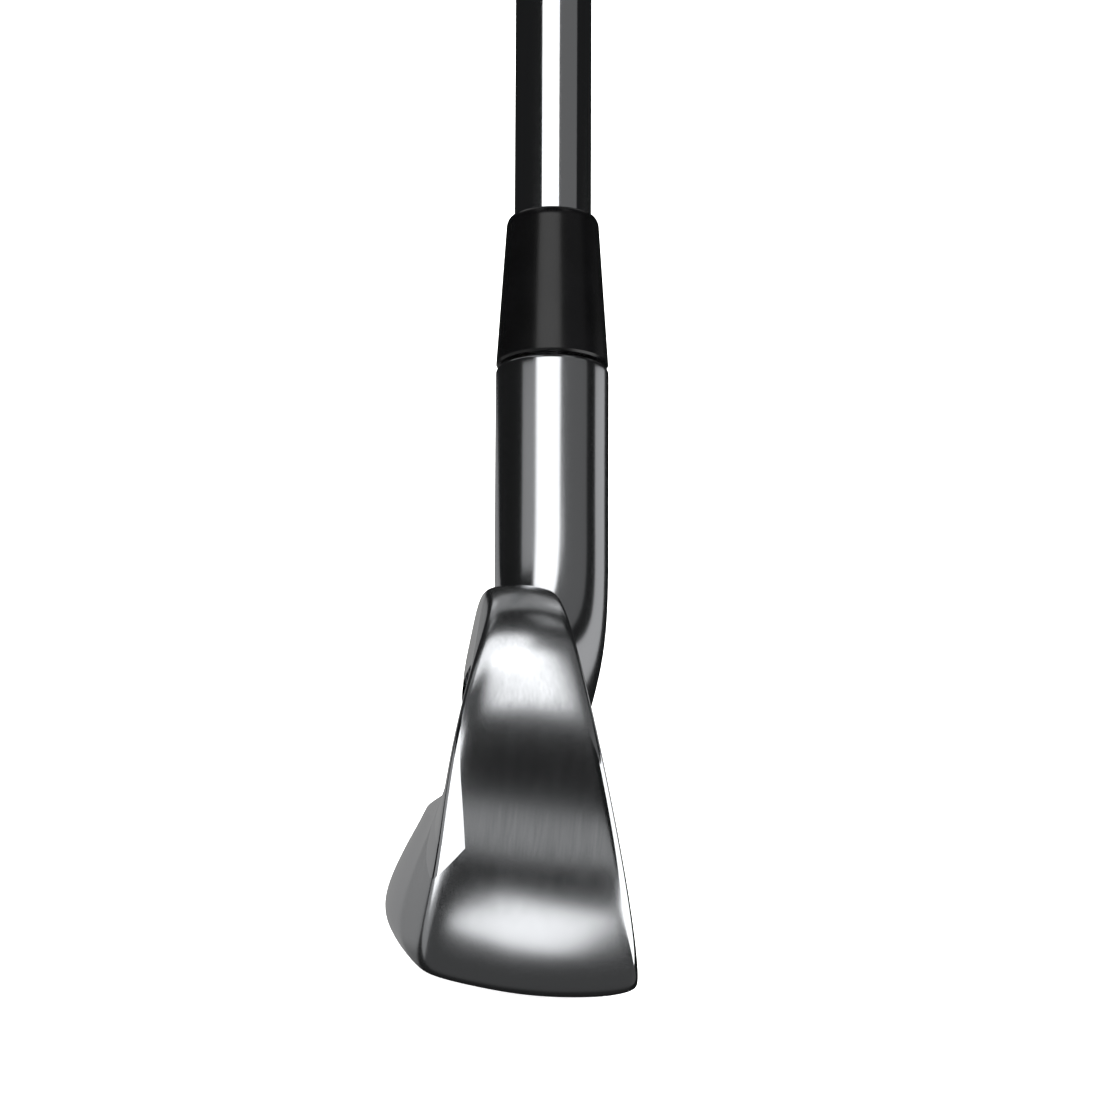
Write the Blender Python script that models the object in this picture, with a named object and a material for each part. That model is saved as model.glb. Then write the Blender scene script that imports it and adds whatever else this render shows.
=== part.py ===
"""Iron golf club at address: head, ferrule, stepped steel shaft and grip, each piece its own solid.

Metres, +Z up, +X towards the heel and the hands, -Y towards the target, so the face looks along -Y.
The club is laid out in millimetres from the ground point, where the shaft's axis meets the ground,
and then moved so that the middle of the strike face is the origin.
"""
import math

import bmesh
import bpy
from mathutils import Matrix, Vector

for old in list(bpy.data.objects):
    bpy.data.objects.remove(old)

MM = 0.001

# Whole club
LIE = math.radians(61)            # shaft axis above the ground
LOFT = math.radians(16)           # face leans back from the vertical
CLUB_LENGTH = 988.0               # ground point to the top of the grip, along the shaft
FIT_GAP = 0.12                    # round piece inside round piece
SEAT_GAP = 0.3                    # piece resting on piece

# Head
FACE_LEAD = -1.05                 # where the face's plane meets the ground, behind the shaft axis
TOE_REACH = 78.0                  # shaft ground point to the toe's furthest point
TOE_HEIGHT = 49.0                 # ground to the top of the toe
TOE_CORNER = 13.0                 # how far the top of the toe rounds over, along X
TOE_FOOT = 22.0                   # how far the sole rounds up into the toe, along X
TOE_LEVEL_SHARE = 0.56            # height of the toe's furthest point, as a share of the toe's height
TOE_EASE = 12.5                   # how fast the topline eases over into the toe
TOE_BAND_FOOT = 20.5              # toe to the blade's last full section, at the sole
TOE_BAND_TOP = 17.0               # and at the topline
BAND_CROWN = 2.4                  # how far the toe's band bulges between its edges
HEEL_HEIGHT = 29.5                # ground to the topline where the blade meets the heel
BLADE_HEEL = -14.0                # heel end of the flat face, along X
SOLE_CENTRE = -35.0               # where the sole touches the ground, along X
SOLE_RADIUS = 228.0               # sole's camber from heel to toe
SOLE_CAMBER = 37.0                # sole's camber from front to back
SOLE_LOWEST = 8.5                 # lowest line of the sole, along Y
SOLE_WIDTH = 27.5                 # leading edge to the rearmost point
REAR_CENTRE = -57.0               # where the head is deepest, along X
REAR_RADIUS = 96.0                # the rear's curve seen from above
TOPLINE = 7.8                     # thickness of the top rim at the toe
TOPLINE_HEEL = 7.2                # and at the heel
MUSCLE_SHARE = 0.5                # muscle's top edge, as a share of the blade's height
MUSCLE_STEP = 5.6                 # how far the muscle stands out behind the back
RIM = 5.5                         # height of the top rim around the cavity
HEEL_CURVE = 30.0                 # radius from the sole into the hosel
CROTCH_CURVE = 14.0               # radius from the topline into the hosel
HOSEL_TOP = 63.3                  # ground point to the hosel's rim, along the shaft
HOSEL_WALL = 1.71
BORE_DEPTH = 31.0
RIM_CHAMFER = 0.5                 # on the outside of the hosel's rim
BORE_CHAMFER = 0.3                # and on its inside

# Face plate, its score lines and the cavity behind it
STRIKE_X = -40.5                  # middle of the strike face, along X
STRIKE_Z = 22.5                   # and above the ground
PLATE_THICK = 2.6
PLATE_FOOT = 4.6                  # sole to the plate's lower edge
PLATE_BROW = 3.6                  # plate's upper edge to the topline
PLATE_SIDE = 5.0                  # head metal left at the toe and the heel
PLATE_CORNER = 4.5                # radius of its corners
GROOVE_PITCH = 3.5
GROOVE_WIDE = 0.9
GROOVE_DEEP = 0.45
GROOVE_TOE_SIDE = 16.0            # toe to the score lines
GROOVE_HEEL_SIDE = 2.0            # plate's heel edge to the score lines
GROOVE_BROW = 5.4                 # upper lines stop this far below the topline
GROOVE_SHORTEST = 15.0
CAVITY_WEB = 2.5                  # metal between the plate and the cavity
CAVITY_HEEL_SIDE = 7.0            # metal at the ends of the cavity, along X
CAVITY_TOE_SIDE = 18.0
CAVITY_SILL = 1.6                 # muscle's top edge to the cavity
CAVITY_CORNER = 5.0
POCKET_DEEP = 6.5                 # undercut from the cavity down into the muscle
POCKET_FOOT = 8.0                 # metal left under it
POCKET_LIP = 0.4                  # step from the cavity's floor to the undercut's

# Badge in the cavity
PAD_THICK = 0.8
BADGE_THICK = 1.4
BADGE_EDGE = 1.6                  # cavity floor left around the badge

# Shaft
TIP_RADIUS = 4.7
BUTT_RADIUS = 7.62
SHAFT_STEPS = 13
STEP_RAMP = 1.2                   # length of the slope at each step
TIP_BARE = 131.5                  # ferrule to the first step
SHAFT_WALL = 0.42
TIP_CHAMFER = 0.4
SHAFT_FLOAT = 1.0                 # bore's floor to the shaft's tip
EPOXY_WALL = 0.25
EPOXY_BELOW_RIM = 0.4
TIP_WEIGHT_LONG = 16.0
TIP_WEIGHT_GAP = 0.3
TIP_WEIGHT_BORE = 0.8
BAND_LONG = 32.0                  # label band between the last step and the grip
BAND_WALL = 0.2
BAND_TO_STEP = 4.0
BAND_TO_GRIP = 12.0

# Ferrule
FERRULE_LONG = 19.0
FERRULE_WALL = 0.86               # at its top
FERRULE_INSET = 0.05              # its foot's radius under the hosel's
FERRULE_SHOULDER = 1.3            # rounded top edge

# Grip
GRIP_LONG = 267.0
GRIP_MOUTH_WALL = 0.85
GRIP_SHOULDER = 50.0              # below the cap, where the grip's faster taper ends
GRIP_SHOULDER_RADIUS = 11.4
GRIP_BUTT_RADIUS = 12.7
TAPE_WALL = 0.2
TAPE_INSIDE = 6.0                 # grip's mouth to the tape
TAPE_SHORT = 1.0                  # tape to the butt end
CAP_RADIUS = 13.6
CAP_THICK = 3.6
CAP_PLUG_LONG = 6.0
VENT_RADIUS = 1.6

SIDES = 24                        # facets around round pieces
RING = 22                         # points around each section of the head
SWELL = 0.6                       # smoothing draws the toe's outline in by this much


def material(name, colour, roughness, metallic):
    made = bpy.data.materials.new(name)
    made.use_nodes = True
    shader = made.node_tree.nodes["Principled BSDF"]
    shader.inputs["Base Color"].default_value = (*colour, 1)
    shader.inputs["Roughness"].default_value = roughness
    shader.inputs["Metallic"].default_value = metallic
    return made


def new_object(name, shape, finish, parent):
    """Makes a named object from a bmesh in millimetres."""
    bmesh.ops.recalc_face_normals(shape, faces=shape.faces)
    bmesh.ops.scale(shape, vec=(MM, MM, MM), verts=shape.verts)
    mesh = bpy.data.meshes.new(name)
    shape.to_mesh(mesh)
    shape.free()
    mesh.shade_smooth()
    mesh.set_sharp_from_angle(angle=math.radians(35))
    mesh.materials.append(finish)
    made = bpy.data.objects.new(name, mesh)
    bpy.context.scene.collection.objects.link(made)
    made.parent = parent
    return made


def turned(name, profile, finish, parent):
    """Spins a closed outline of (radius, height) points about Z."""
    shape = bmesh.new()
    points = [shape.verts.new((radius, 0, height)) for radius, height in profile]
    edges = [shape.edges.new((points[i - 1], points[i])) for i in range(len(points))]
    bmesh.ops.spin(shape, geom=points + edges, cent=(0, 0, 0), axis=(0, 0, 1), angle=math.tau,
                   steps=SIDES, use_merge=True)
    bmesh.ops.remove_doubles(shape, verts=shape.verts, dist=0.001)
    bmesh.ops.dissolve_degenerate(shape, edges=shape.edges, dist=0.001)
    return new_object(name, shape, finish, parent)


def cut(target, cutter):
    """Takes the cutter out of the target and keeps it as a guide only."""
    cutter.hide_render = True
    cutter.display_type = "WIRE"
    boolean = target.modifiers.new("cut_" + cutter.name, "BOOLEAN")
    boolean.operation = "DIFFERENCE"
    boolean.solver = "EXACT"
    boolean.object = cutter


def mix(a, b, share):
    return a + (b - a) * share


# The head's outlines, in millimetres from the ground point: x and z seen from the front, y from the side

AXIS = Vector((math.cos(LIE), 0, math.sin(LIE)))
ACROSS = Vector((-math.sin(LIE), 0, math.cos(LIE)))
TOE_PEAK = TOE_CORNER - TOE_REACH
TOE_LEVEL = TOE_LEVEL_SHARE * TOE_HEIGHT
TOPLINE_SLOPE = (TOE_HEIGHT + 2.0 - HEEL_HEIGHT) / (BLADE_HEEL - TOE_PEAK)
REARMOST = FACE_LEAD + SOLE_WIDTH + 0.9       # the smoothing takes 0.9 off the rear
BAND_REAR = REARMOST - 1.4                    # the toe band's rear edge
BORE_RADIUS = TIP_RADIUS + EPOXY_WALL + 2 * FIT_GAP
HOSEL_RADIUS = BORE_RADIUS + HOSEL_WALL
CAVITY_FLOOR = PLATE_THICK + SEAT_GAP + CAVITY_WEB      # behind the face's plane


def face_y(z):
    return FACE_LEAD + z * math.tan(LOFT)


def sole_z(x):
    return (x - SOLE_CENTRE) ** 2 / (2 * SOLE_RADIUS)


def topline_z(x):
    """A straight line that eases over into the top of the toe."""
    along = (BLADE_HEEL - x) / (BLADE_HEEL - TOE_PEAK)
    return HEEL_HEIGHT + TOPLINE_SLOPE * (BLADE_HEEL - x) - TOE_EASE * max(0.0, along - 0.6) ** 2


def rear_y(x):
    return REARMOST - (x - REAR_CENTRE) ** 2 / (2 * REAR_RADIUS)


def toe_point(angle):
    """Front view of the toe: two quarter ovals, below and above its furthest point."""
    if angle < 0:
        middle, reach, drop = TOE_FOOT - TOE_REACH, TOE_FOOT, TOE_LEVEL - sole_z(TOE_FOOT - TOE_REACH)
    else:
        middle, reach, drop = TOE_PEAK, TOE_CORNER, TOE_HEIGHT - TOE_LEVEL
    x = middle - (reach + SWELL) * math.cos(angle)
    return Vector((x, 0, TOE_LEVEL + (drop + SWELL) * math.sin(angle)))


def blade_ring(low, high, top, rear):
    """Section of the blade between a sole point and a topline point, each (x, z)."""
    foot = Vector((low[0], 0, low[1]))
    climb = Vector((high[0], 0, high[1])) - foot
    tall = climb.length

    def at(height, y):
        point = foot + climb * (height / tall)
        point.y = y
        return point

    leading = 2.7
    face = [at(mix(leading, tall, row / 5), 0) for row in range(6)]
    for point in face:
        point.y = face_y(point.z)
    crest = face[5].y
    topline = [at(tall + crown, crest + top * share)
               for share, crown in ((0.13, 0.3), (0.32, 0.6), (0.53, 0.65), (0.73, 0.45), (0.88, 0.2))]
    back = [at(tall - 0.4, crest + top),
            at(tall - RIM, crest + top + 0.2),
            at(tall * MUSCLE_SHARE, rear - MUSCLE_STEP),
            at(tall * MUSCLE_SHARE * 0.63, rear - 1.9),
            at(tall * MUSCLE_SHARE * 0.31, rear + 0.3),
            at(3.6, rear - 1.9)]
    sole = []
    for share in (0.86, 0.66, 0.45, 0.24, 0.08):
        y = mix(face[0].y, rear - 2.2, share)
        sole.append(at((y - SOLE_LOWEST) ** 2 / (2 * SOLE_CAMBER), y))
    return face + topline + back + sole


def round_ring(low, high, radius):
    """Oval section between the same two points, centred on the shaft axis."""
    middle = Vector((low[0] + high[0], 0, low[1] + high[1])) / 2
    climb = Vector((high[0] - low[0], 0, high[1] - low[1])) / 2
    fullness = 2 / 3 + math.cos(math.tau / RING) / 3
    ring = []
    for i in range(RING):
        angle = (i - 2.5) * math.tau / RING
        point = middle + climb * (math.sin(angle) / fullness)
        point.y = -radius * math.cos(angle) / fullness
        ring.append(point)
    return ring


def hosel_ring(along, radius):
    centre = AXIS * along
    low, high = centre - ACROSS * radius, centre + ACROSS * radius
    return round_ring((low.x, low.z), (high.x, high.z), radius)


def heel_curves(share):
    """Points on the curve from sole to hosel and on the curve from topline to hosel."""
    side = HOSEL_RADIUS / math.sin(LIE)
    sole_corner = Vector((side, 0, 1.2))
    start = sole_corner.x - HEEL_CURVE * math.tan(LIE / 2)
    angle = LIE * share
    low = (start + HEEL_CURVE * math.sin(angle), sole_corner.z + HEEL_CURVE * (1 - math.cos(angle)))

    fall = math.atan(TOPLINE_SLOPE)
    z = (HEEL_HEIGHT - TOPLINE_SLOPE * (-side - BLADE_HEEL)) / (1 + TOPLINE_SLOPE / math.tan(LIE))
    corner = Vector((z / math.tan(LIE) - side, 0, z))
    reach = CROTCH_CURVE * math.tan((LIE + fall) / 2)
    begin = corner + reach * Vector((-math.cos(fall), 0, math.sin(fall)))
    centre = begin + CROTCH_CURVE * Vector((math.sin(fall), 0, math.cos(fall)))
    turn = -fall + (LIE + fall) * share
    high = (centre.x + CROTCH_CURVE * math.sin(turn), centre.z - CROTCH_CURVE * math.cos(turn))
    return low, high


def toe_ring():
    """The edge of the toe's band: the face's outline in front, the back's behind."""
    angles = [math.radians(a) for a in (-70, -45, -17, 14, 43, 70)]
    front = [toe_point(a) for a in angles]
    back = [point.copy() for point in reversed(front)]
    for point in front:
        point.y = face_y(point.z)
    back[5] = toe_point(math.radians(-60))
    for point in back:
        point.y = BAND_REAR - max(0.0, point.z - 0.6 * TOE_HEIGHT) ** 2 * 0.0145
    back[5].y = BAND_REAR - 2.2
    back[4].y = BAND_REAR + 0.3
    return front, back


def head_rings():
    rings = []
    for share in (0.0, 0.17, 0.34, 0.51, 0.68, 0.84, 1.0):
        low_x = mix(TOE_BAND_FOOT - TOE_REACH, BLADE_HEEL, share)
        high_x = mix(TOE_BAND_TOP - TOE_REACH, BLADE_HEEL, share)
        rings.append(blade_ring((low_x, sole_z(low_x)), (high_x, topline_z(high_x)),
                                mix(TOPLINE, TOPLINE_HEEL, share), rear_y(low_x)))
    for share, roundness in ((0.0, 0.1), (0.25, 0.3), (0.5, 0.57), (0.75, 0.83), (1.0, 1.0)):
        low, high = heel_curves(share)
        rear = mix(rear_y(low[0]), HOSEL_RADIUS, roundness)
        blade = blade_ring(low, high, mix(TOPLINE_HEEL, 2 * HOSEL_RADIUS, roundness), rear)
        oval = round_ring(low, high, HOSEL_RADIUS)
        rings.append([mix(a, b, roundness) for a, b in zip(blade, oval)])
    for along in (0.67 * HOSEL_TOP, 0.82 * HOSEL_TOP, HOSEL_TOP - RIM_CHAMFER, HOSEL_TOP):
        rings.append(hosel_ring(along, HOSEL_RADIUS))
    return rings


def bore_rings():
    floor = HOSEL_TOP - BORE_DEPTH
    rings = [hosel_ring(HOSEL_TOP, HOSEL_RADIUS - RIM_CHAMFER)]
    rings.append(hosel_ring(HOSEL_TOP, BORE_RADIUS + BORE_CHAMFER))
    rings.append(hosel_ring(HOSEL_TOP - BORE_CHAMFER, BORE_RADIUS))
    rings.append(hosel_ring(floor + 0.5, BORE_RADIUS))
    rings.append(hosel_ring(floor, BORE_RADIUS))
    rings.append(hosel_ring(floor, BORE_RADIUS - 0.5))
    return rings


def rolled(shape, rings, closed, patches=None):
    """Lays a grid over the rings; closed rings meet at their seam. patches(col, row) marks faces."""
    around = len(rings[0]) if closed else len(rings[0]) - 1
    along = len(rings) - 1
    marks = shape.faces.layers.int["patch"]
    made = bmesh.ops.create_grid(shape, x_segments=around, y_segments=along, size=1)
    cells = {}
    for point in made["verts"]:
        cells[point] = (round((point.co.x + 1) / 2 * around), round((point.co.y + 1) / 2 * along))
    for face in {face for point in made["verts"] for face in point.link_faces}:
        col = min(cells[point][0] for point in face.verts)
        row = min(cells[point][1] for point in face.verts)
        face[marks] = patches(col, row) if patches else 0
    for point, (col, row) in cells.items():
        ring = rings[row]
        point.co = ring[col % len(ring)]


FACE_MARK, BACK_MARK = 1, 2


def head_patch(col, row):
    if row >= 7:
        return 0
    if col < 5:
        return FACE_MARK
    return BACK_MARK if 11 <= col < 16 else 0


def head_cage():
    """The head as a coarse cage; subdividing it gives the rounded casting."""
    shape = bmesh.new()
    marks = shape.faces.layers.int.new("patch")
    front, back = toe_ring()
    top_shares = (0.0, 0.13, 0.32, 0.53, 0.73, 0.88, 1.0)
    sole_shares = (0.0, 0.08, 0.24, 0.45, 0.66, 0.86, 1.0)
    chains = []
    for row, (near, far) in enumerate(zip(front, reversed(back))):
        outward = (near - Vector((TOE_PEAK + 15, near.y, TOE_LEVEL))).normalized()
        chain = []
        for top_share, sole_share in zip(top_shares, sole_shares):
            share = mix(sole_share, top_share, row / 5)
            chain.append(near.lerp(far, share) + outward * BAND_CROWN * share * (1 - share))
        chains.append(chain)
    toe_edge = front + chains[5][1:6] + back + list(reversed(chains[0][1:6]))
    rolled(shape, [toe_edge] + head_rings() + bore_rings(), True, head_patch)
    rolled(shape, chains, False)
    bmesh.ops.remove_doubles(shape, verts=shape.verts, dist=0.01)
    bmesh.ops.holes_fill(shape, edges=[e for e in shape.edges if e.is_boundary], sides=RING)
    bmesh.ops.recalc_face_normals(shape, faces=shape.faces)

    def marked(kind):
        return [face for face in shape.faces if face[marks] == kind]

    bmesh.ops.inset_region(shape, faces=marked(FACE_MARK), thickness=1.3, use_even_offset=True)
    bmesh.ops.inset_region(shape, faces=marked(BACK_MARK), thickness=1.6, use_even_offset=True)
    return shape


def muscle_z(x):
    return mix(sole_z(x), topline_z(x), MUSCLE_SHARE)


def up_slope(z):
    """Distance up the face's plane for a height above the ground."""
    return z / math.cos(LOFT)


def plate_outline(margin):
    """Corners of the face plate in the face's own plane, drawn in by a margin."""
    heel, toe = BLADE_HEEL - PLATE_SIDE - margin, PLATE_SIDE + margin - TOE_REACH
    foot, brow = toe + 0.45 * TOE_FOOT, toe + 0.55 * TOE_CORNER
    return [(heel, up_slope(sole_z(heel) + PLATE_FOOT) + margin),
            (foot, up_slope(sole_z(foot) + PLATE_FOOT) + margin),
            (toe, up_slope(0.38 * TOE_HEIGHT)),
            (toe, up_slope(0.68 * TOE_HEIGHT)),
            (brow, up_slope(topline_z(brow) - PLATE_BROW) - margin),
            (heel, up_slope(topline_z(heel) - PLATE_BROW) - margin)]


def cavity_outline(margin):
    heel, toe = BLADE_HEEL - CAVITY_HEEL_SIDE - margin, CAVITY_TOE_SIDE + margin - TOE_REACH
    return [(heel, up_slope(muscle_z(heel) + CAVITY_SILL) + margin),
            (toe, up_slope(muscle_z(toe) + CAVITY_SILL) + margin),
            (toe, up_slope(topline_z(toe) - RIM) - margin),
            (heel, up_slope(topline_z(heel) - RIM) - margin)]


def pocket_outline():
    """The undercut reaches from just inside the cavity down towards the sole."""
    heel, toe = BLADE_HEEL - CAVITY_HEEL_SIDE, CAVITY_TOE_SIDE - TOE_REACH
    return [(heel, up_slope(sole_z(heel) + POCKET_FOOT)), (toe, up_slope(sole_z(toe) + POCKET_FOOT)),
            (toe, up_slope(muscle_z(toe) + 2 * CAVITY_SILL)),
            (heel, up_slope(muscle_z(heel) + 2 * CAVITY_SILL))]


def lean_back(shape):
    """Turns a shape laid out in the plane Y = 0 onto the face's plane."""
    turn = Matrix.Rotation(-LOFT, 3, "X")
    bmesh.ops.rotate(shape, cent=(0, 0, 0), matrix=turn, verts=shape.verts)
    bmesh.ops.translate(shape, vec=(0, FACE_LEAD, 0), verts=shape.verts)


def face_slab(outline, front, thickness, corner):
    """A plate parallel to the face, its front this far behind the face's plane."""
    shape = bmesh.new()
    shape.faces.new([shape.verts.new((x, front, z)) for x, z in outline])
    bmesh.ops.bevel(shape, geom=shape.verts[:], offset=corner, offset_type="OFFSET", segments=4,
                    profile=0.5, affect="VERTICES", material=-1, clamp_overlap=True)
    made = bmesh.ops.extrude_face_region(shape, geom=shape.faces[:])
    moved = [part for part in made["geom"] if isinstance(part, bmesh.types.BMVert)]
    bmesh.ops.translate(shape, vec=(0, thickness, 0), verts=moved)
    lean_back(shape)
    return shape


def groove_bars():
    """One bar for each score line, spaced from the strike point as far as the plate has room.

    The upper ones stop short under the falling topline.
    """
    shape = bmesh.new()
    toe = GROOVE_TOE_SIDE - TOE_REACH
    lowest = up_slope(sole_z(toe) + PLATE_FOOT) + GROOVE_WIDE
    up = up_slope(STRIKE_Z) + GROOVE_PITCH / 2
    while up - GROOVE_PITCH > lowest:
        up -= GROOVE_PITCH
    heel = BLADE_HEEL - PLATE_SIDE - GROOVE_HEEL_SIDE
    while heel - toe > GROOVE_SHORTEST:
        bar = bmesh.ops.create_cube(shape, size=1)["verts"]
        bmesh.ops.scale(shape, vec=(heel - toe, 2 * GROOVE_DEEP, GROOVE_WIDE), verts=bar)
        bmesh.ops.translate(shape, vec=((heel + toe) / 2, 0, up), verts=bar)
        up += GROOVE_PITCH
        rise = up * math.cos(LOFT) + GROOVE_BROW - HEEL_HEIGHT
        heel = min(heel, BLADE_HEEL - rise / TOPLINE_SLOPE)
    lean_back(shape)
    return shape


# Frame: everything hangs from the strike face's middle

club = bpy.data.objects.new("club_frame", None)
club.location = Vector((STRIKE_X, face_y(STRIKE_Z), STRIKE_Z)) * -MM
bpy.context.scene.collection.objects.link(club)

shaft_line = bpy.data.objects.new("shaft_line", None)
shaft_line.rotation_euler = (0, math.pi / 2 - LIE, 0)
shaft_line.parent = club
bpy.context.scene.collection.objects.link(shaft_line)

# Head

cast_steel = material("cast_steel", (0.62, 0.63, 0.65), 0.25, 1.0)
face_steel = material("face_steel", (0.55, 0.56, 0.58), 0.35, 1.0)
head = new_object("head_body", head_cage(), cast_steel, club)
smooth = head.modifiers.new("smooth", "SUBSURF")
smooth.levels = 1
smooth.render_levels = 1
recess = face_slab(plate_outline(-SEAT_GAP), -2.0, 2.0 + PLATE_THICK + SEAT_GAP, PLATE_CORNER + SEAT_GAP)
cut(head, new_object("plate_recess", recess, cast_steel, club))
cavity = face_slab(cavity_outline(0), CAVITY_FLOOR, SOLE_WIDTH, CAVITY_CORNER)
cut(head, new_object("cavity", cavity, cast_steel, club))
pocket = face_slab(pocket_outline(), CAVITY_FLOOR + POCKET_LIP, POCKET_DEEP, CAVITY_CORNER / 2)
cut(head, new_object("undercut", pocket, cast_steel, club))

plate = new_object("face_plate", face_slab(plate_outline(0), 0, PLATE_THICK, PLATE_CORNER), face_steel, club)
cut(plate, new_object("score_lines", groove_bars(), face_steel, club))

pad_outline = cavity_outline(BADGE_EDGE)
pad_front = CAVITY_FLOOR + SEAT_GAP
pad_corner = CAVITY_CORNER - BADGE_EDGE
foam = material("foam_tape", (0.03, 0.03, 0.032), 0.9, 0.0)
new_object("badge_pad", face_slab(pad_outline, pad_front, PAD_THICK, pad_corner), foam, club)
badge_front = pad_front + PAD_THICK + SEAT_GAP
badge_metal = material("badge_aluminium", (0.30, 0.31, 0.33), 0.4, 1.0)
new_object("cavity_badge", face_slab(pad_outline, badge_front, BADGE_THICK, pad_corner), badge_metal, club)

# Shaft, with its plug, glue and label band

tip = HOSEL_TOP - BORE_DEPTH + SHAFT_FLOAT
seat = HOSEL_TOP + SEAT_GAP
crown = seat + FERRULE_LONG
butt = CLUB_LENGTH - CAP_THICK - SEAT_GAP
mouth = CLUB_LENGTH - GRIP_LONG
band_high = mouth - BAND_TO_GRIP
first_step = crown + TIP_BARE
last_step = band_high - BAND_LONG - BAND_TO_STEP - STEP_RAMP
rise = (BUTT_RADIUS - TIP_RADIUS) / SHAFT_STEPS
steps = []
for step in range(SHAFT_STEPS):
    height = mix(first_step, last_step, step / (SHAFT_STEPS - 1))
    steps.append((TIP_RADIUS + rise * step, height))
    steps.append((TIP_RADIUS + rise * (step + 1), height + STEP_RAMP))
outside = [(TIP_RADIUS - TIP_CHAMFER, tip), (TIP_RADIUS, tip + TIP_CHAMFER)] + steps + [(BUTT_RADIUS, butt)]
inside = [(radius - SHAFT_WALL, height) for radius, height in reversed(steps)]
inside = [(BUTT_RADIUS - SHAFT_WALL, butt)] + inside + [(TIP_RADIUS - SHAFT_WALL, tip + TIP_CHAMFER)]
chrome = material("chrome", (0.8, 0.81, 0.83), 0.06, 1.0)
turned("shaft", outside + inside, chrome, shaft_line)

glue_low, glue_high = tip - SHAFT_FLOAT / 2, HOSEL_TOP - EPOXY_BELOW_RIM
glue_in, glue_out = TIP_RADIUS + FIT_GAP, TIP_RADIUS + FIT_GAP + EPOXY_WALL
glue = material("epoxy", (0.55, 0.5, 0.36), 0.4, 0.0)
turned("hosel_epoxy", [(glue_in, glue_low), (glue_out, glue_low), (glue_out, glue_high),
                       (glue_in, glue_high)], glue, shaft_line)

plug = TIP_RADIUS - SHAFT_WALL - TIP_WEIGHT_GAP
plug_low = tip + 2 * TIP_CHAMFER
plug_high = plug_low + TIP_WEIGHT_LONG
brass = material("brass", (0.6, 0.45, 0.18), 0.35, 1.0)
turned("tip_weight", [(TIP_WEIGHT_BORE, plug_low), (plug, plug_low), (plug, plug_high),
                      (TIP_WEIGHT_BORE, plug_high)], brass, shaft_line)

band_in = BUTT_RADIUS + FIT_GAP
foil = material("label_foil", (0.1, 0.1, 0.11), 0.3, 0.6)
turned("shaft_band", [(band_in, band_high - BAND_LONG), (band_in + BAND_WALL, band_high - BAND_LONG),
                      (band_in + BAND_WALL, band_high), (band_in, band_high)], foil, shaft_line)

# Ferrule: a cone from the hosel's width down to a rounded shoulder

ferrule_top = TIP_RADIUS + FIT_GAP + FERRULE_WALL
shoulder = [(ferrule_top - FERRULE_SHOULDER * share * 0.45,
             crown - FERRULE_SHOULDER * math.sqrt(1 - share ** 2)) for share in (0.0, 0.6, 0.9)]
gloss_black = material("ferrule_black", (0.01, 0.01, 0.012), 0.15, 0.0)
turned("ferrule", [(TIP_RADIUS + FIT_GAP, seat), (HOSEL_RADIUS - FERRULE_INSET, seat)] + shoulder
       + [(TIP_RADIUS + FIT_GAP, crown)], gloss_black, shaft_line)

# Grip: tape on the shaft, the rubber sleeve over it and the butt cap with its vent

tape_in, tape_out = BUTT_RADIUS + FIT_GAP, BUTT_RADIUS + FIT_GAP + TAPE_WALL
tape_low, tape_high = mouth + TAPE_INSIDE, butt - TAPE_SHORT
paper = material("grip_tape", (0.7, 0.68, 0.6), 0.8, 0.0)
turned("grip_tape", [(tape_in, tape_low), (tape_out, tape_low), (tape_out, tape_high),
                     (tape_in, tape_high)], paper, shaft_line)

sleeve_in = tape_out + FIT_GAP
rubber = material("grip_rubber", (0.025, 0.025, 0.027), 0.75, 0.0)
turned("grip_sleeve", [(sleeve_in, mouth), (sleeve_in + GRIP_MOUTH_WALL - 0.3, mouth),
                       (sleeve_in + GRIP_MOUTH_WALL, mouth + 0.8),
                       (GRIP_SHOULDER_RADIUS, CLUB_LENGTH - GRIP_SHOULDER),
                       (GRIP_BUTT_RADIUS, butt), (sleeve_in, butt)], rubber, shaft_line)

cap_low = CLUB_LENGTH - CAP_THICK
spigot = BUTT_RADIUS - SHAFT_WALL - TIP_WEIGHT_GAP
cap_rubber = material("cap_rubber", (0.02, 0.02, 0.022), 0.6, 0.0)
turned("grip_cap", [(VENT_RADIUS, cap_low - CAP_PLUG_LONG), (spigot, cap_low - CAP_PLUG_LONG),
                    (spigot, cap_low), (CAP_RADIUS - 0.5, cap_low), (CAP_RADIUS, cap_low + 0.8),
                    (CAP_RADIUS - 0.3, CLUB_LENGTH - 1.4), (CAP_RADIUS - 1.4, CLUB_LENGTH - 0.4),
                    (CAP_RADIUS - 3.0, CLUB_LENGTH), (VENT_RADIUS, CLUB_LENGTH)], cap_rubber, shaft_line)
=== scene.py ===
"""Iron golf club: cast head, ferrule, stepped chrome shaft and rubber grip, seen from the toe."""
import math

import bmesh
import bpy
from mathutils import Matrix, Quaternion, Vector


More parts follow.
